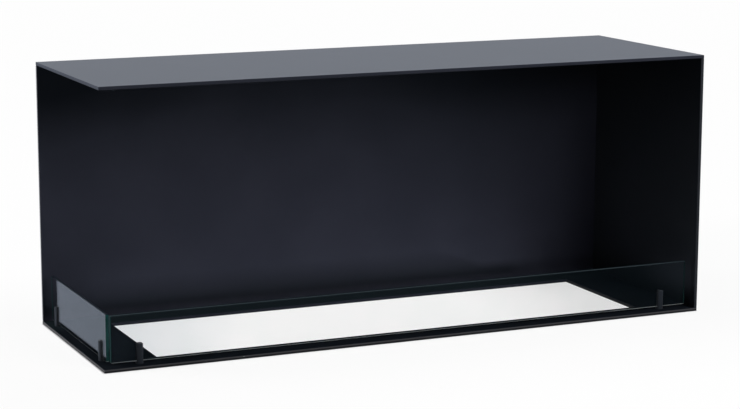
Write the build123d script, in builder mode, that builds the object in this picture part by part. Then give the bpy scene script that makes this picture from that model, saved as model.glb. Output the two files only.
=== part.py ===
from build123d import *
import os

# Left-corner bioethanol fireplace casing: a steel box, open at the front and at the left,
# with a burner cut-out in its base and two low glass panes that stand in slotted posts.
# Millimetres. +X runs to the right, +Y to the back, +Z up.
# The origin is the middle of the casing's footprint, on the surface that it stands on.

# ---- casing plates ------------------------------------------------------------------------
casing_width = 1200.0
casing_depth = 400.0
casing_height = 500.0
base_thickness = 6.0
top_thickness = 6.0
back_thickness = 6.0
side_thickness = 6.0
edge_rounding = 0.8  # softened free edges of the cut plates
weld_leg = 2.5  # seam weld in the panels' bevelled outer edges, ground flush

# ---- burner cut-out, measured in from the casing's outside ---------------------------------
cutout_left_margin = 113.0
cutout_right_margin = 107.0
cutout_front_margin = 56.0
cutout_rear_margin = 69.0
cutout_corner_radius = 1.5

# ---- glass panes ---------------------------------------------------------------------------
glass_thickness = 6.0
pane_height = 85.0
pane_lift_off_base = 5.0  # gap under the panes
pane_arris = 0.8  # ground edges
pane_corner_radius = 2.5
front_glass_inset = 23.5  # casing's front edge to the pane's middle plane
front_glass_left_margin = 18.0
front_glass_side_gap = 10.0  # to the side panel
side_glass_inset = 17.0  # casing's left edge to the pane's middle plane
side_glass_corner_gap = 8.0  # behind the front pane
side_glass_back_gap = 12.5  # to the back panel

# ---- slotted posts and their liners ----------------------------------------------------------
post_diameter = 14.0
post_height = 37.0
post_chamfer = 1.0
front_post_inset = 71.0  # from the casing's left and right edges
side_post_front_inset = 67.5
side_post_rear_inset = 51.5
slot_lead_in = 0.5
liner_thickness = 0.5
liner_setback = 0.8  # liner's ends, inside the post's round
glass_fit = 0.2  # clearance on each face of a pane

# ---- countersunk post screws, size M5 ----------------------------------------------------------
thread_radius = 2.5
thread_engagement = 4.0
clearance_hole_radius = 2.75
countersink_radius = 5.2
countersink_angle = 90.0
screw_head_recess = 0.2  # below the base's underside
screw_fit = 0.1
screw_tip_chamfer = 0.5
socket_flats = 3.0
socket_depth = 1.8

# ---- places that follow from the sizes ---------------------------------------------------------
left_x = -casing_width / 2
right_x = casing_width / 2
front_y = -casing_depth / 2
rear_y = casing_depth / 2
back_inner_y = rear_y - back_thickness
side_inner_x = right_x - side_thickness
wall_height = casing_height - base_thickness - top_thickness
wall_top_z = base_thickness + wall_height

cutout_length = casing_width - cutout_left_margin - cutout_right_margin
cutout_width = casing_depth - cutout_front_margin - cutout_rear_margin
cutout_x = left_x + cutout_left_margin + cutout_length / 2
cutout_y = front_y + cutout_front_margin + cutout_width / 2

pane_mid_z = base_thickness + pane_lift_off_base + pane_height / 2
front_glass_y = front_y + front_glass_inset
front_glass_start_x = left_x + front_glass_left_margin
front_glass_length = side_inner_x - front_glass_side_gap - front_glass_start_x
side_glass_x = left_x + side_glass_inset
side_glass_start_y = front_glass_y + glass_thickness / 2 + side_glass_corner_gap
side_glass_length = back_inner_y - side_glass_back_gap - side_glass_start_y

pane_channel = glass_thickness + 2 * glass_fit
slot_width = pane_channel + 2 * liner_thickness
slot_floor = pane_lift_off_base - liner_thickness
slot_depth = post_height - slot_floor

# Each post's foot on the base, with the direction in which its slot runs
along_front = (1, 0, 0)
along_side = (0, 1, 0)
post_feet = {
    "front_left": ((left_x + front_post_inset, front_glass_y), along_front),
    "front_right": ((right_x - front_post_inset, front_glass_y), along_front),
    "side_front": ((side_glass_x, front_y + side_post_front_inset), along_side),
    "side_rear": ((side_glass_x, rear_y - side_post_rear_inset), along_side),
}
screw_entries = [Plane(origin=(*foot, 0), z_dir=(0, 0, -1)) for foot, slot_run in post_feet.values()]

os.makedirs("parts", exist_ok=True)


# ---- base and top plates -----------------------------------------------------------------------
def soften_outline(plate, outer_face, inner_face):
    """Round a level plate's corners, its outer outline, and its inner front and left edges."""
    corners = plate.edges().filter_by(Axis.Z)
    outline = outer_face.edges()
    inner_front = inner_face.edges().sort_by(Axis.Y)[0]
    inner_left = inner_face.edges().sort_by(Axis.X)[0]
    fillet([*corners, *outline, inner_front, inner_left], radius=edge_rounding)


with BuildPart() as base_plate:
    with BuildSketch(Plane.XY):
        Rectangle(casing_width, casing_depth)
    extrude(amount=base_thickness)
    underside, base_top = base_plate.faces().filter_by(Axis.Z).sort_by(Axis.Z)
    soften_outline(base_plate, underside, base_top)
    with BuildSketch(Plane.XY):
        with Locations((cutout_x, cutout_y)):
            RectangleRounded(cutout_length, cutout_width, cutout_corner_radius)
    extrude(amount=base_thickness, mode=Mode.SUBTRACT)
    fillet(base_plate.faces().sort_by(Axis.Z)[-1].inner_wires().edges(), radius=edge_rounding)
    with Locations(*screw_entries):
        CounterSinkHole(
            radius=clearance_hole_radius,
            counter_sink_radius=countersink_radius,
            depth=base_thickness,
            counter_sink_angle=countersink_angle,
        )
base_plate.part.label = "base_plate"
export_step(base_plate.part, "parts/base_plate.step")

with BuildPart() as top_plate:
    with BuildSketch(Plane.XY.offset(wall_top_z)):
        Rectangle(casing_width, casing_depth)
    extrude(amount=top_thickness)
    ceiling, roof = top_plate.faces().filter_by(Axis.Z).sort_by(Axis.Z)
    soften_outline(top_plate, roof, ceiling)
top_plate.part.label = "top_plate"
export_step(top_plate.part, "parts/top_plate.step")

# ---- standing panels, bevelled outside for the seam welds ---------------------------------------
with BuildPart() as back_panel:
    with BuildSketch(Plane.XY.offset(base_thickness)):
        with Locations((0, rear_y - back_thickness / 2)):
            Rectangle(casing_width, back_thickness)
    extrude(amount=wall_height)
    chamfer(back_panel.edges().filter_by(Axis.X).group_by(Axis.Y)[-1], length=weld_leg)
    uprights = back_panel.edges().filter_by(Axis.Z)
    left_uprights = uprights.group_by(Axis.X)[0]
    rear_right_upright = uprights.group_by(Axis.X)[-1].sort_by(Axis.Y)[-1]
    fillet([*left_uprights, rear_right_upright], radius=edge_rounding)
back_panel.part.label = "back_panel"
export_step(back_panel.part, "parts/back_panel.step")

with BuildPart() as side_panel:
    with BuildSketch(Plane.XY.offset(base_thickness)):
        with Locations((right_x - side_thickness / 2, (front_y + back_inner_y) / 2)):
            Rectangle(side_thickness, casing_depth - back_thickness)
    extrude(amount=wall_height)
    outer_edges = side_panel.faces().sort_by(Axis.X)[-1].edges().sort_by(Axis.Y)
    chamfer(outer_edges[1:], length=weld_leg)
    fillet(side_panel.edges().filter_by(Axis.Z).group_by(Axis.Y)[0], radius=edge_rounding)
side_panel.part.label = "side_panel"
export_step(side_panel.part, "parts/side_panel.step")

# ---- seam welds: each run is a triangular bead that fills a bevel back to the square corner ------
bead_start_x = left_x + edge_rounding
bead_end_x = right_x - edge_rounding
back_run = bead_end_x - bead_start_x
side_run = back_inner_y - front_y - edge_rounding
inward_y = (0, -1, 0)
inward_x = (-1, 0, 0)

# Each run's start, the way into the panel, the way that the run goes, and its length
seams = {
    "back_top_weld": [
        ((bead_start_x, rear_y, wall_top_z), inward_y, (1, 0, 0), back_run),
    ],
    "back_bottom_weld": [
        ((bead_end_x, rear_y, base_thickness), inward_y, (-1, 0, 0), back_run),
    ],
    "side_panel_weld": [
        ((right_x, back_inner_y, wall_top_z), inward_x, (0, -1, 0), side_run),
        ((right_x, back_inner_y - side_run, base_thickness), inward_x, (0, 1, 0), side_run),
        ((right_x, back_inner_y, base_thickness), inward_x, (0, 0, 1), wall_height),
    ],
}
for name, runs in seams.items():
    with BuildPart() as weld:
        for start, inward, run_direction, run_length in runs:
            with BuildSketch(Plane(origin=start, x_dir=inward, z_dir=run_direction)):
                with BuildLine():
                    Polyline((0, 0), (weld_leg, 0), (0, weld_leg), close=True)
                make_face()
            extrude(amount=run_length)
    weld.part.label = name
    export_step(weld.part, f"parts/{name}.step")

# ---- glass panes: rounded corners and ground edges ------------------------------------------------
front_glass_middle = Plane(
    origin=(front_glass_start_x + front_glass_length / 2, front_glass_y, pane_mid_z),
    x_dir=along_front,
    z_dir=(0, -1, 0),
)
side_glass_middle = Plane(
    origin=(side_glass_x, side_glass_start_y + side_glass_length / 2, pane_mid_z),
    x_dir=along_side,
    z_dir=(1, 0, 0),
)
panes = {
    "front_glass": (front_glass_middle, front_glass_length),
    "side_glass": (side_glass_middle, side_glass_length),
}
for name, (middle, length) in panes.items():
    with BuildPart() as pane:
        with BuildSketch(middle):
            RectangleRounded(length, pane_height, pane_corner_radius)
        extrude(amount=glass_thickness / 2, both=True)
        broad_faces = pane.faces().sort_by(SortBy.AREA)[-2:]
        chamfer(broad_faces.edges(), length=pane_arris)
    pane.part.label = name
    export_step(pane.part, f"parts/{name}.step")

# ---- slotted posts, each with a U-shaped liner in its slot ----------------------------------------
for name, (foot, slot_run) in post_feet.items():
    foot_plane = Plane(origin=(*foot, base_thickness), x_dir=slot_run, z_dir=(0, 0, 1))
    foot_from_below = Plane(origin=(*foot, base_thickness), z_dir=(0, 0, -1))
    with BuildPart() as post:
        with BuildSketch(foot_plane):
            Circle(post_diameter / 2)
        extrude(amount=post_height)
        chamfer(post.faces().sort_by(Axis.Z)[-1].edges(), length=post_chamfer)
        with BuildSketch(foot_plane.offset(slot_floor)):
            Rectangle(post_diameter, slot_width)
        extrude(amount=slot_depth, mode=Mode.SUBTRACT)
        prong_tops = post.faces().sort_by(Axis.Z)[-2:]
        chamfer(prong_tops.edges().filter_by(GeomType.LINE), length=slot_lead_in)
        with Locations(foot_from_below):
            Hole(radius=thread_radius, depth=slot_floor)
    post.part.label = f"{name}_post"
    export_step(post.part, f"parts/{name}_post.step")

    with BuildPart() as liner:
        with BuildSketch(foot_plane.offset(slot_floor)):
            Circle(post_diameter / 2 - liner_setback)
            Rectangle(post_diameter, slot_width, mode=Mode.INTERSECT)
        extrude(amount=slot_depth - slot_lead_in)
        with BuildSketch(foot_plane.offset(slot_floor + liner_thickness)):
            Rectangle(post_diameter, pane_channel)
        extrude(amount=slot_depth, mode=Mode.SUBTRACT)
    liner.part.label = f"{name}_liner"
    export_step(liner.part, f"parts/{name}_liner.step")

# ---- post screws, up through the base into the posts ----------------------------------------------
shank_radius = thread_radius - screw_fit
head_radius = countersink_radius - screw_head_recess - screw_fit
head_base_z = screw_head_recess + head_radius - shank_radius
screw_tip_z = base_thickness + thread_engagement
with BuildPart() as post_screw:
    with BuildSketch(Plane.XZ):
        with BuildLine():
            Polyline(
                (0, screw_head_recess),
                (head_radius, screw_head_recess),
                (shank_radius, head_base_z),
                (shank_radius, screw_tip_z - screw_tip_chamfer),
                (shank_radius - screw_tip_chamfer, screw_tip_z),
                (0, screw_tip_z),
                close=True,
            )
        make_face()
    revolve(axis=Axis.Z)
    with BuildSketch(Plane.XY.offset(screw_head_recess)):
        RegularPolygon(socket_flats / 2, 6, major_radius=False)
    extrude(amount=socket_depth, mode=Mode.SUBTRACT)

with BuildPart() as post_screws:
    with Locations(*[foot for foot, slot_run in post_feet.values()]):
        add(post_screw.part)
post_screws.part.label = "post_screws"
export_step(post_screws.part, "parts/post_screws.step")
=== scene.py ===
import math

import bpy
from mathutils import Matrix, Vector

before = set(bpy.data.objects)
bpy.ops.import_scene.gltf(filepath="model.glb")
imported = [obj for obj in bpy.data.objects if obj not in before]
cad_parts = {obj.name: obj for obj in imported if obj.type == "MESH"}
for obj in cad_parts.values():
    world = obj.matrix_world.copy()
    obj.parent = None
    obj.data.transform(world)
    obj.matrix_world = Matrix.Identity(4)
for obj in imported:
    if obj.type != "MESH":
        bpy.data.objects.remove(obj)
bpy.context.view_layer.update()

# Left-corner bioethanol fireplace casing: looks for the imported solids, in metres.
# The casing's origin is the middle of its footprint; +X right, +Y back, +Z up.
# A pair of numbers is mostly a range over which one look gives way to another.
X, Y, Z = 0, 1, 2  # parts of a vector

# ---- camera, at the place from which the photograph was taken ------------------------------------
IMAGE_WIDTH_PX = 740
IMAGE_HEIGHT_PX = 409
CAMERA_PLACE = Vector((-1.6464, -3.6830, 0.9610))
CAMERA_YAW = math.radians(23.243)  # to the right of +Y
CAMERA_PITCH = math.radians(10.615)  # below the horizon
CAMERA_ROLL = math.radians(-0.038)
FOCAL_PX = 2151.5
OPTICAL_CENTRE_PX = (342.8, 212.5)  # the photograph is cropped a little off its optical axis
SENSOR_MM = 36.0

# ---- light and surroundings -----------------------------------------------------------------------
SOFTBOXES = {  # place, target, width, height and power in watts
    "front_softbox": ((1.62, -2.90, 1.84), (0, 0.2, 0.25), 2.0, 1.5, 100),
    "left_rear_softbox": ((-2.8, 1.6, 0.8), (-0.6, 0, 0.25), 1.2, 0.9, 95),
}
WHITE = (1, 1, 1, 1)
WORLD_LIGHT = 0.24
SURROUND_BEHIND = (0.70, 0.75, 0.84, 1)  # the surround in reflections: pale and cool behind
SURROUND_AHEAD = (0.040, 0.055, 0.072, 1)  # and dim on the camera's side of the studio
SURROUND_TURN = (-0.95, -0.35)  # along Y, as a direction: where it turns from dim to pale
FLOOR_BEHIND = (0.34, 0.38, 0.46, 1)  # the floor in reflections, which turns from the same dim tone
FLOOR_TURN = (-0.25, -0.05)

# ---- floor ----------------------------------------------------------------------------------------
FLOOR_SIZE = 40.0
FLOOR_DROP = 0.0004  # keeps the floor's plane clear of the casing's underside
FLOOR_COLOUR = (0.84, 0.84, 0.84, 1)
FLOOR_GLOW = (0.91, 0.985)  # the part of the floor's whiteness that is the backdrop's own, near and far
FLOOR_GLOW_REACH = ((0.60, 1.50), (0.20, 0.65))  # distances from the middle, along X and along Y
BENEATH_SHADE_GLOW = 0.89  # the same part under the casing, lowered there as painted shade that deepens towards both ends
BENEATH_LEFT_SHADE_GLOW = 0.585
BENEATH_RIGHT_SHADE_GLOW = 0.665
BENEATH_LEFT = (-0.545, -0.265)  # along X, with BENEATH_SKEW times the place along Y added
BENEATH_SKEW = -0.42
BENEATH_RIGHT = (0.23, 0.44)  # along X
# a cool tint in the painted shade under the casing's left end
BENEATH_LEFT_SHADE_TINT = (0.92, 0.965, 1.0, 1)
BENEATH_RIM = ((0.54, 0.60), (0.16, 0.20))  # distances like FLOOR_GLOW_REACH: where that painted shade ends
CONTACT_SHADOW_RIM = ((0.6010, 0.6018), (0.2009, 0.2017))  # and where a painted line of shadow round the foot ends

# ---- powder coat ----------------------------------------------------------------------------------
# Each finish has two tones, between which it varies with noise.
POWDER_TONES = ((0.0165, 0.0180, 0.0255, 1), (0.0200, 0.0215, 0.0300, 1))
BACK_LIT_TONES = ((0.0220, 0.0231, 0.0343, 1), (0.0266, 0.0276, 0.0406, 1))  # painted light: the same coat a shade paler, for the back panel
SIDE_SHADED_TONES = ((0.0160, 0.0178, 0.0205, 1), (0.0195, 0.0212, 0.0250, 1))  # painted shade: the same coat less blue, for the side panel
POWDER_ROUGHNESS = (0.34, 0.40)
POWDER_TINT = (0.80, 0.87, 1.0, 1)
POWDER_IOR = 1.45
SATIN_GLOSS = 0.5  # the specular level, which is lower on the top and nothing on the base
TOP_GLOSS = 0.47
BASE_GLOSS = 0.0
PEEL_DEPTH = 0.00003
GRAIN_DEPTH = 0.00001

BASE_FRONT_SHADE = (0.0080, 0.0102, 0.0138, 1)  # painted shade on the base's upper side
BASE_REAR_SHADE = (0.0130, 0.0190, 0.0225, 1)  # and on its strip behind the cut-out, less dark
BASE_TURN = (0.10, 0.14)  # along Y: from one to the other

RIM_HIGHLIGHT = (0.0480, 0.0482, 0.0510, 1)  # painted highlight on the outer rim of a plate
RIM_LEFT_HIGHLIGHT = (0.0800, 0.0800, 0.0840, 1)  # a brighter painted highlight where a rim faces left
RIM_FOOT_SHADE = (0.0120, 0.0125, 0.0145, 1)  # painted shade at the foot of the base's rim
RIM_FOOT_HEIGHTS = (0.0022, 0.0040)
OUTER_RIM = ((0.55, 0.56), (0.18, 0.19))  # leaves out the cut-out's rim

BACK_PAINTED_SHADE = (0.0065, 0.0073, 0.0101, 1)  # painted shade on the panels' inner sides, by the base and under the top
SIDE_PAINTED_SHADE = (0.0064, 0.0071, 0.0082, 1)
BACK_FOOT = (0.025, 0.078)  # heights over which the painted shade at the foot ends
BACK_FOOT_RIGHT = (0.027, 0.045)  # the same at the right end
BACK_FOOT_TURN = (0.20, 0.33)  # along X: where that comes down to its place, by BACK_FOOT_SHIFT
BACK_FOOT_SHIFT = 0.04
BACK_FOOT_FADE = (0.39, 0.45)  # along X: where the foot weakens, to BACK_FOOT_WEAK
BACK_FOOT_WEAK = 0.45
BACK_FOOT_LIFT = (0.006, 0.0205)  # heights: it starts from BACK_FOOT_LEAST at the base itself
BACK_FOOT_LEAST = 0.32
BACK_HEAD = (0.400, 0.500)  # heights over which the painted shade under the top sets in
BACK_MIDDLE = -0.12  # along X: where the dark head reaches down least
BACK_HEAD_ENDS = (0.15, 0.45)  # distances from there over which it comes lower, by BACK_HEAD_DROP
BACK_HEAD_DROP = 0.07
SIDE_FOOT = (0.015, 0.075)
SIDE_HEAD = (0.17, 0.46)
# Patches of painted shade: how much, where each starts and ends along the panel, and the same for its
# height.
BACK_SHADE_PATCHES = (
    (0.36, (0.05, 0.36), (0.40, 0.50), (0.08, 0.22), (0.44, 0.50)),
    (0.28, (-0.70, -0.65), (-0.52, -0.40), (0.03, 0.08), (0.13, 0.21)),
)
SIDE_SHADE_PATCHES = (
    (0.75, (-0.30, -0.25), (-0.14, -0.06), (0.025, 0.045), (0.10, 0.16)),
)

# ---- glass, posts, liners and screws --------------------------------------------------------------
GLASS_FACE_TONES = ((1.0, 1.0, 1.0, 1), (0.97, 0.985, 0.98, 1))
GLASS_EDGE_TONES = ((0.0006, 0.013, 0.013, 1), (0.001, 0.018, 0.018, 1))
GLASS_LIT_END = (0.0012, 0.046, 0.043, 1)  # painted light on the edges that face the front
GLASS_ARRIS = (0.012, 0.055, 0.051, 1)
GLASS_TOP = (0.019, 0.029, 0.034, 1)  # painted light on the front pane's upper edge, under the brightest light
# painted light on the side pane's upper edge, dimmer than on the front pane's
SIDE_GLASS_TOP = (0.006, 0.009, 0.015, 1)
GLASS_FOOT_PAINTED_LIGHT = (0.90, 0.95, 0.95, 1)  # painted light on the lower edges, as the floor's light that they would gather
GLASS_TINT = (0.5, 0.6, 0.6, 1)
GLASS_IOR = 1.5
ARRIS_ROUGHNESS = 0.25
EDGE_ROUGHNESS = 0.6
POST_TONES = ((0.0135, 0.0165, 0.0215, 1), (0.0175, 0.0205, 0.0265, 1))
POST_ROUGHNESS = (0.36, 0.44)
POST_IOR = 1.5
RING_DEPTH = 0.00002
LINER_TONES = ((0.020, 0.022, 0.024, 1), (0.035, 0.038, 0.041, 1))
LINER_ROUGHNESS = (0.50, 0.65)
LINER_IOR = 1.41
ZINC_TONES = ((0.56, 0.57, 0.59, 1), (0.40, 0.41, 0.43, 1))
ZINC_ROUGHNESS = (0.28, 0.42)
ZINC_DEPTH = 0.00002

# ---- how a surface faces, as the part of its normal along an axis ----------------------------------
LEFTWARD = (-0.8, -0.6)
AGAINST_AXIS = (-0.95, -0.85)
UPWARD = (0.85, 0.95)
RIM_OFF_AXIS = (0.35, 0.65)  # off an axis, without its sign
PANE_OFF_AXIS = (0.93, 0.97)
ARRIS_OFF_AXIS = (0.25, 0.45)
PANE_TOP = (0.55, 0.65)
PANE_FOOT = (-0.65, -0.55)

NOISE_RANGE = (0.35, 0.65)  # most of a noise texture's values


class Nodes:
    """A node tree, with short calls for its nodes. An input takes a constant or another node's output.
    The place names the texture coordinate that places are read from."""

    def __init__(self, tree, place):
        self.tree = tree
        self.tree.nodes.clear()
        coordinates = self.node("ShaderNodeTexCoord").outputs
        self.place = coordinates[place]
        self.normal = coordinates["Normal"]

    def feed(self, target, value):
        if isinstance(value, bpy.types.NodeSocket):
            self.tree.links.new(value, target)
        else:
            target.default_value = value

    def node(self, kind, **values):
        """A new node, with values for inputs by name, written with _ for a space."""
        made = self.tree.nodes.new(kind)
        for name, value in values.items():
            self.feed(made.inputs[name.replace("_", " ")], value)
        return made

    def math(self, operation, *values, clamped=False):
        made = self.node("ShaderNodeMath")
        made.operation = operation
        made.use_clamp = clamped
        for target, value in zip(made.inputs, values):
            self.feed(target, value)
        return made.outputs["Value"]

    def mix(self, share, first, second, way="MIX"):
        """Mixes two colours, or multiplies them."""
        made = self.node("ShaderNodeMix")
        made.data_type = "RGBA"
        made.blend_type = way
        for name, value in (("Factor", share), ("A", first), ("B", second)):
            self.feed(made.inputs[name], value)
        return made.outputs["Result"]

    def mix_shaders(self, share, first, second):
        made = self.node("ShaderNodeMixShader")
        for target, value in zip(made.inputs, (share, first, second)):
            self.feed(target, value)
        return made.outputs["Shader"]

    def product(self, first, *others):
        """Several shares multiplied."""
        for other in others:
            first = self.math("MULTIPLY", first, other)
        return first

    def left_over(self, share):
        """What a share leaves of 1."""
        return self.math("SUBTRACT", 1.0, share)

    def rise(self, value, limits, low=0.0, high=1.0):
        """Goes from low to high as a value goes from one limit to the other."""
        made = self.node("ShaderNodeMapRange", Value=value, To_Min=low, To_Max=high)
        for name, limit in zip(("From Min", "From Max"), limits):
            self.feed(made.inputs[name], limit)
        return made.outputs["Result"]

    def fall(self, value, limits, high=1.0, low=0.0):
        """Goes from high to low as a value goes from one limit to the other."""
        return self.rise(value, limits, high, low)

    def carry(self, share, low, high):
        """Carries a share from 0 to 1 over to a range."""
        return self.rise(share, (0.0, 1.0), low, high)

    def part(self, vector, axis):
        return self.node("ShaderNodeSeparateXYZ", Vector=vector).outputs[axis]

    def along(self, axis):
        """The place along an axis of the object."""
        return self.part(self.place, axis)

    def facing(self, axis):
        """How far the surface faces along an axis of the object, from -1 to 1."""
        return self.part(self.normal, axis)

    def off_axis(self, axis, limits):
        """1 where the surface turns away from an axis of the object, and 0 where it faces along it."""
        return self.fall(self.math("ABSOLUTE", self.facing(axis)), limits)

    def out_of(self, rectangle, low=0.0, high=1.0):
        """Goes from low to high as the place leaves a rectangle round the middle, which is given as the
        distances along X and along Y between which it does so."""
        shares = [
            self.rise(self.math("ABSOLUTE", self.along(axis)), limits, low, high)
            for axis, limits in enumerate(rectangle)
        ]
        return self.math("MAXIMUM", *shares)


class Finish(Nodes):
    """A node material."""

    def __init__(self, name):
        self.material = bpy.data.materials.new(name)
        self.material.use_nodes = True
        super().__init__(self.material.node_tree, "Object")

    def noise(self, per_metre, detail=3.0, packed=(1, 1, 1)):
        """Noise of that many features a metre, packed closer along an axis by that factor."""
        place = self.node("ShaderNodeMapping", Vector=self.place, Scale=packed).outputs["Vector"]
        return self.node("ShaderNodeTexNoise", Vector=place, Scale=per_metre, Detail=detail).outputs["Fac"]

    def varied(self, noise, low, high):
        """Carries noise over to a range of values."""
        return self.rise(noise, NOISE_RANGE, low, high)

    def toned(self, noise, tones):
        """Carries noise over to the colours between two tones."""
        return self.mix(self.varied(noise, 0.0, 1.0), *tones)

    def bump(self, height, depth, **below):
        """Relief of that depth, on the surface or on the relief below it."""
        return self.node("ShaderNodeBump", Height=height, Distance=depth, **below).outputs["Normal"]

    def shown(self, shader):
        self.node("ShaderNodeOutputMaterial", Surface=shader)
        return self.material

    def principled(self, **values):
        return self.shown(self.node("ShaderNodeBsdfPrincipled", **values).outputs["BSDF"])


def powder_coat(name, tones=POWDER_TONES, gloss=SATIN_GLOSS, places=None):
    """Satin black powder coat: a fine orange peel over plates that are very nearly flat. Places is a
    function that gives the shares of the surface where light or shade is painted, and the tone that each
    share takes."""
    finish = Finish(name)
    cloud = finish.noise(per_metre=9.0)
    grain = finish.noise(per_metre=1400.0, detail=2.0)
    peel = finish.noise(per_metre=420.0, detail=2.0)
    colour = finish.toned(cloud, tones)
    if places is not None:
        for share, tone in places(finish):
            colour = finish.mix(share, colour, tone)
    return finish.principled(
        Base_Color=colour,
        Roughness=finish.varied(grain, *POWDER_ROUGHNESS),
        Normal=finish.bump(grain, GRAIN_DEPTH, Normal=finish.bump(peel, PEEL_DEPTH)),
        IOR=POWDER_IOR,
        Specular_IOR_Level=gloss,
        Specular_Tint=POWDER_TINT,
    )


def rim_highlights(finish, thin_axis):
    """Painted highlights on a plate's edges, on its outside and wherever they face left, with painted
    shade low down at the base's foot.
    """
    left = finish.fall(finish.facing(X), LEFTWARD)
    low = finish.fall(finish.along(Z), RIM_FOOT_HEIGHTS)
    tone = finish.mix(left, finish.mix(low, RIM_HIGHLIGHT, RIM_FOOT_SHADE), RIM_LEFT_HIGHLIGHT)
    pale = finish.math("MAXIMUM", finish.out_of(OUTER_RIM), left)
    return [(finish.product(pale, finish.off_axis(thin_axis, RIM_OFF_AXIS)), tone)]


def base_painted_light(finish):
    """Painted highlights on the outer edges, and painted shade on the upper side."""
    tone = finish.mix(finish.rise(finish.along(Y), BASE_TURN), BASE_FRONT_SHADE, BASE_REAR_SHADE)
    return rim_highlights(finish, Z) + [(finish.rise(finish.facing(Z), UPWARD), tone)]


def shade_patch_shares(finish, along, height, patches):
    """Where each patch of painted shade is, at its own strength."""
    shares = []
    for amount, start, end, foot, head in patches:
        across = finish.product(finish.rise(along, start, 0.0, amount), finish.fall(along, end))
        upright = finish.product(finish.rise(height, foot), finish.fall(height, head))
        shares.append(finish.product(across, upright))
    return shares


def painted_shade_inside(finish, inner_axis, shares, tone):
    """Shares of painted shade on a panel's inner side, which faces against its inner axis, with one tone
    for all.
    """
    inside = finish.fall(finish.facing(inner_axis), AGAINST_AXIS)
    return [(finish.product(share, inside), tone) for share in shares]


def back_painted_light(finish):
    """Painted highlights on the outer edges, and painted shade on the inner side by the base and under the
    top: by the base over less height and less strongly at the right end, and under the top over more
    height at both ends."""
    along = finish.along(X)
    height = finish.along(Z)
    shift = finish.fall(along, BACK_FOOT_TURN, BACK_FOOT_SHIFT, 0.0)
    right_foot = finish.fall(finish.math("SUBTRACT", height, shift), BACK_FOOT_RIGHT)
    foot = finish.product(
        finish.math("MINIMUM", finish.fall(height, BACK_FOOT), right_foot),
        finish.rise(height, BACK_FOOT_LIFT, BACK_FOOT_LEAST, 1.0),
        finish.fall(along, BACK_FOOT_FADE, 1.0, BACK_FOOT_WEAK),
    )
    off_middle = finish.math("ABSOLUTE", finish.math("SUBTRACT", along, BACK_MIDDLE))
    drop = finish.rise(off_middle, BACK_HEAD_ENDS, 0.0, BACK_HEAD_DROP)
    head = finish.rise(finish.math("ADD", height, drop), BACK_HEAD)
    shares = [foot, head] + shade_patch_shares(finish, along, height, BACK_SHADE_PATCHES)
    return rim_highlights(finish, Y) + painted_shade_inside(finish, Y, shares, BACK_PAINTED_SHADE)


def side_painted_shade(finish):
    """Painted shade on an inner side: darker by the base, upwards over most of its height, and in patches.
    """
    height = finish.along(Z)
    shares = [finish.fall(height, SIDE_FOOT), finish.rise(height, SIDE_HEAD)]
    shares += shade_patch_shares(finish, finish.along(Y), height, SIDE_SHADE_PATCHES)
    return painted_shade_inside(finish, X, shares, SIDE_PAINTED_SHADE)


def post_paint():
    """Smoother satin black on the turned posts, with faint turning rings."""
    finish = Finish("post_black")
    rings = finish.noise(per_metre=60.0, detail=2.0, packed=(1, 1, 40))
    grain = finish.noise(per_metre=1800.0, detail=2.0)
    return finish.principled(
        Base_Color=finish.toned(rings, POST_TONES),
        Roughness=finish.varied(grain, *POST_ROUGHNESS),
        Normal=finish.bump(rings, RING_DEPTH),
        IOR=POST_IOR,
    )


def pane_glass(name, thin_axis, top):
    """Clear float glass with the faintest film on its faces, ground edges that look deep green, and
    painted light on the edges that face the front, the upper edges and the lower edges.
    """
    finish = Finish(name)
    film = finish.noise(per_metre=14.0, detail=4.0)
    grit = finish.noise(per_metre=600.0)
    edge = finish.off_axis(thin_axis, PANE_OFF_AXIS)
    flat = finish.off_axis(thin_axis, ARRIS_OFF_AXIS)
    tone = finish.toned(grit, GLASS_EDGE_TONES)
    # painted light on the edges that face the front, then on the upper and the lower edges
    tone = finish.mix(finish.fall(finish.facing(Y), AGAINST_AXIS), tone, GLASS_LIT_END)
    tone = finish.mix(flat, GLASS_ARRIS, tone)
    tone = finish.mix(finish.rise(finish.facing(Z), PANE_TOP), tone, top)
    tone = finish.mix(finish.fall(finish.facing(Z), PANE_FOOT), tone, GLASS_FOOT_PAINTED_LIGHT)
    edge_roughness = finish.carry(flat, ARRIS_ROUGHNESS, EDGE_ROUGHNESS)
    return finish.principled(
        Base_Color=finish.mix(edge, finish.toned(film, GLASS_FACE_TONES), tone),
        Roughness=finish.product(edge, edge_roughness),
        IOR=GLASS_IOR,
        Specular_Tint=GLASS_TINT,
        Transmission_Weight=finish.left_over(edge),
    )


def liner_silicone():
    """Smoke-grey silicone."""
    finish = Finish("liner_silicone")
    cloud = finish.noise(per_metre=300.0)
    return finish.principled(
        Base_Color=finish.toned(cloud, LINER_TONES),
        Roughness=finish.varied(cloud, *LINER_ROUGHNESS),
        IOR=LINER_IOR,
    )


def screw_zinc():
    """Zinc-plated screws, dulled in patches."""
    finish = Finish("screw_zinc")
    patches = finish.noise(per_metre=500.0)
    return finish.principled(
        Base_Color=finish.toned(patches, ZINC_TONES),
        Roughness=finish.varied(patches, *ZINC_ROUGHNESS),
        Normal=finish.bump(patches, ZINC_DEPTH),
        Metallic=1.0,
    )


def dress(names, material):
    """Gives CAD nodes a finish as their only material."""
    for name in names:
        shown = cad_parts[name]
        shown.data.materials.clear()
        shown.data.materials.append(material)


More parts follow.
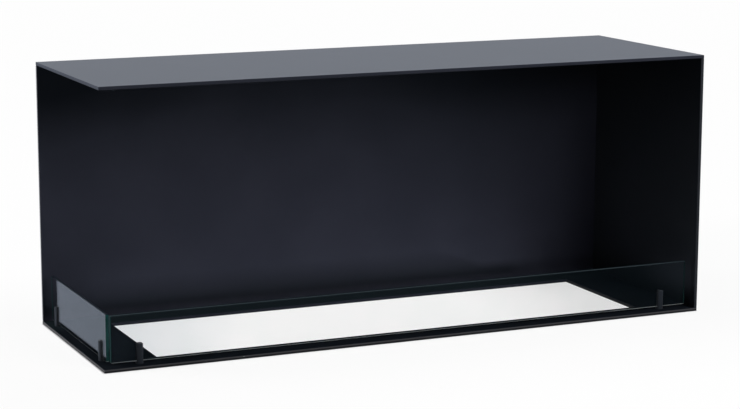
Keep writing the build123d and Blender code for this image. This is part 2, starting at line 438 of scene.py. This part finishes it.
def surround(nodes, turn, pale):
    """What the floor and the world show: white to the camera and through glass, and in reflections a
    surround that turns from dim on the camera's side to pale behind the object. Gives whether a ray comes
    from the camera or through glass, whether it comes from a reflection, and the colour that it finds."""
    rays = nodes.node("ShaderNodeLightPath").outputs
    clear = nodes.math("MAXIMUM", rays["Is Camera Ray"], rays["Is Transmission Ray"])
    sharp = nodes.math("MAXIMUM", rays["Is Glossy Ray"], rays["Is Transmission Ray"])
    mirrored = nodes.math("MULTIPLY", sharp, rays["Glossy Depth"], clamped=True)
    behind = nodes.rise(nodes.along(Y), turn)
    behind.node.interpolation_type = "SMOOTHSTEP"
    reflection = nodes.mix(behind, SURROUND_AHEAD, pale)
    return clear, mirrored, nodes.mix(mirrored, WHITE, reflection)


def build_world():
    """A white surround that lights the object evenly, at less than its own whiteness."""
    world = bpy.data.worlds.new("white_surround")
    world.use_nodes = True
    bpy.context.scene.world = world
    nodes = Nodes(world.node_tree, "Generated")
    seen, mirrored, colour = surround(nodes, SURROUND_TURN, SURROUND_BEHIND)
    light = nodes.node("ShaderNodeBackground", Color=WHITE, Strength=WORLD_LIGHT).outputs["Background"]
    shown = nodes.node("ShaderNodeBackground", Color=colour).outputs["Background"]
    share = nodes.math("MAXIMUM", seen, mirrored)
    nodes.node("ShaderNodeOutputWorld", Surface=nodes.mix_shaders(share, light, shown))


def floor_paper():
    """A plain pale floor. Part of its whiteness is the backdrop's, and the rest takes the shadow. Under
    the casing the backdrop's part is less, as painted shade, and on a line round the base's foot there is
    none, as a painted contact shadow."""
    finish = Finish("pale_floor")
    seen, mirrored, colour = surround(finish, FLOOR_TURN, FLOOR_BEHIND)
    along = finish.along(X)
    skewed = finish.math("ADD", along, finish.math("MULTIPLY", finish.along(Y), BENEATH_SKEW))
    # painted shade under the casing, deeper towards both ends
    left = finish.rise(skewed, BENEATH_LEFT, BENEATH_LEFT_SHADE_GLOW, BENEATH_SHADE_GLOW)
    right = finish.fall(along, BENEATH_RIGHT, BENEATH_SHADE_GLOW, BENEATH_RIGHT_SHADE_GLOW)
    beneath_shade_glow = finish.math("MINIMUM", left, right)
    open_glow = finish.out_of(FLOOR_GLOW_REACH, *FLOOR_GLOW)
    in_open = finish.out_of(BENEATH_RIM)
    beneath = finish.left_over(in_open)
    glow = finish.carry(in_open, beneath_shade_glow, open_glow)
    # a painted contact shadow: no glow on a line round the base's foot
    off_contact_shadow = finish.math("MAXIMUM", finish.out_of(CONTACT_SHADOW_RIM), beneath)
    share = finish.math("MAXIMUM", finish.product(seen, glow, off_contact_shadow), mirrored)
    # the cool tint of the painted shade under the left end
    cool = finish.product(beneath, finish.fall(skewed, BENEATH_LEFT))
    tint = finish.mix(cool, WHITE, BENEATH_LEFT_SHADE_TINT)
    tinted = finish.mix(1.0, colour, tint, way="MULTIPLY")
    paper = finish.node("ShaderNodeBsdfDiffuse", Color=FLOOR_COLOUR).outputs["BSDF"]
    own_light = finish.node("ShaderNodeEmission", Color=tinted, Strength=1.0).outputs["Emission"]
    return finish.shown(finish.mix_shaders(share, paper, own_light))


def build_floor():
    half = FLOOR_SIZE / 2
    mesh = bpy.data.meshes.new("floor")
    corners = [(-half, -half, 0), (half, -half, 0), (half, half, 0), (-half, half, 0)]
    mesh.from_pydata(corners, [], [(0, 1, 2, 3)])
    mesh.materials.append(floor_paper())
    floor = bpy.data.objects.new("floor", mesh)
    floor.location.z = -FLOOR_DROP
    bpy.context.scene.collection.objects.link(floor)


def soft_light(name, place, target, width, height, power):
    """A rectangular softbox that faces its target. It isn't mirrored, so no plate glares from any side."""
    data = bpy.data.lights.new(name, "AREA")
    data.shape = "RECTANGLE"
    data.size = width
    data.size_y = height
    data.energy = power
    lamp = bpy.data.objects.new(name, data)
    lamp.location = place
    lamp.visible_camera = False
    lamp.visible_glossy = False
    lamp.rotation_euler = (Vector(target) - Vector(place)).to_track_quat("-Z", "Y").to_euler()
    bpy.context.scene.collection.objects.link(lamp)


def build_camera():
    """The photograph's camera, with its frame shifted to the crop's centre."""
    data = bpy.data.cameras.new("camera")
    data.sensor_width = SENSOR_MM
    data.lens = FOCAL_PX / IMAGE_WIDTH_PX * SENSOR_MM
    data.shift_x = (IMAGE_WIDTH_PX / 2 - OPTICAL_CENTRE_PX[0]) / IMAGE_WIDTH_PX
    data.shift_y = (OPTICAL_CENTRE_PX[1] - IMAGE_HEIGHT_PX / 2) / IMAGE_WIDTH_PX
    camera = bpy.data.objects.new("camera", data)
    turn = (
        Matrix.Rotation(-CAMERA_YAW, 4, "Z")
        @ Matrix.Rotation(math.radians(90) - CAMERA_PITCH, 4, "X")
        @ Matrix.Rotation(CAMERA_ROLL, 4, "Z")
    )
    camera.matrix_world = Matrix.Translation(CAMERA_PLACE) @ turn
    bpy.context.scene.collection.objects.link(camera)
    bpy.context.scene.camera = camera


build_camera()
build_world()
build_floor()
for name, settings in SOFTBOXES.items():
    soft_light(name, *settings)

bpy.context.scene.view_settings.view_transform = "Standard"

liner_nodes = [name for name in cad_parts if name.endswith("_liner")]
post_nodes = [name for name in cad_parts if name.endswith("_post")]
weld_nodes = [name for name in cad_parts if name.endswith("_weld")]

dress(["base_plate"], powder_coat("powder_coat_base", gloss=BASE_GLOSS, places=base_painted_light))
dress(["back_panel"], powder_coat("powder_coat_back", BACK_LIT_TONES, places=back_painted_light))
dress(["side_panel"], powder_coat("powder_coat_side", SIDE_SHADED_TONES, places=side_painted_shade))
dress(["top_plate", *weld_nodes], powder_coat("powder_coat_top", gloss=TOP_GLOSS))
dress(post_nodes, post_paint())
dress(["front_glass"], pane_glass("front_pane_glass", Y, GLASS_TOP))
dress(["side_glass"], pane_glass("side_pane_glass", X, SIDE_GLASS_TOP))
dress(liner_nodes, liner_silicone())
dress(["post_screws"], screw_zinc())
